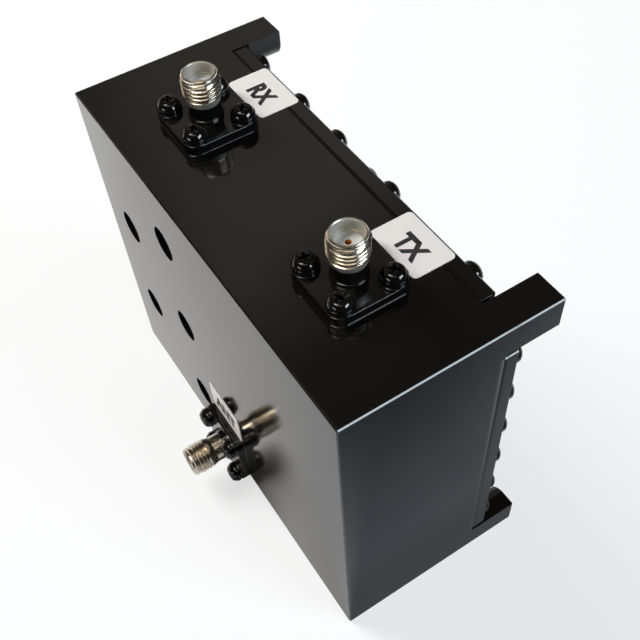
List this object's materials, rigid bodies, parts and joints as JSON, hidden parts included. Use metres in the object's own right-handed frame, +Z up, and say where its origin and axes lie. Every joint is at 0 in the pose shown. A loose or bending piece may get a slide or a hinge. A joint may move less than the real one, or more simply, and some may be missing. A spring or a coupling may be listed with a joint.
{
  "type": "cavity duplexer",
  "caption": "Compact cavity duplexer: a black milled block with a screwed cover, corner ears and flanged coaxial sockets for receive, transmit and antenna.",
  "frame": {"origin": "middle of the block's length on its bottom face, below the axes of the two top sockets, which are 14.7 mm behind the antenna face", "axes": "+X along the block's length, receive socket to transmit socket; +Y from the antenna face to the cover and the ears; +Z up, out of the face with the receive and transmit sockets"},
  "size_m": [0.08, 0.0465, 0.0751],
  "materials": {
    "black_paint": "gloss black paint over the whole unit",
    "nickel": "bare nickel plate with a warm tint on the barrel, painted on the flange",
    "ptfe": "white insulator",
    "gold": "gilt",
    "bare_steel": "bare screw head",
    "silver": "silver plate inside",
    "label": "off-white sticker"
  },
  "bodies": {
    "root": {"housing": "black_paint", "cover": "black_paint", "cover_screws": "black_paint", "rx_connector_shell": "nickel", "rx_connector_insulator": "ptfe", "rx_connector_contact": "gold", "rx_connector_washers": "black_paint", "rx_connector_screws": "black_paint", "tx_connector_shell": "nickel", "tx_connector_insulator": "ptfe", "tx_connector_contact": "gold", "tx_connector_washers": "black_paint", "tx_connector_screws": "black_paint", "ant_connector_shell": "nickel", "ant_connector_insulator": "ptfe", "ant_connector_contact": "gold", "ant_connector_washers": "black_paint", "ant_connector_screws": "black_paint", "rx_resonator_1": "silver", "rx_resonator_2": "silver", "rx_resonator_3": "silver", "rx_resonator_4": "silver", "rx_resonator_5": "silver", "resonator_screws": "bare_steel", "tuning_screws": "black_paint", "tuning_lock_nuts": "black_paint", "coupling_screws": "black_paint", "coupling_lock_nuts": "black_paint", "rx_tap": "silver", "tx_tap": "silver", "ant_tap": "silver", "rx_label": "label", "tx_label": "label", "ant_label": "label"}
  },
  "joints": []
}
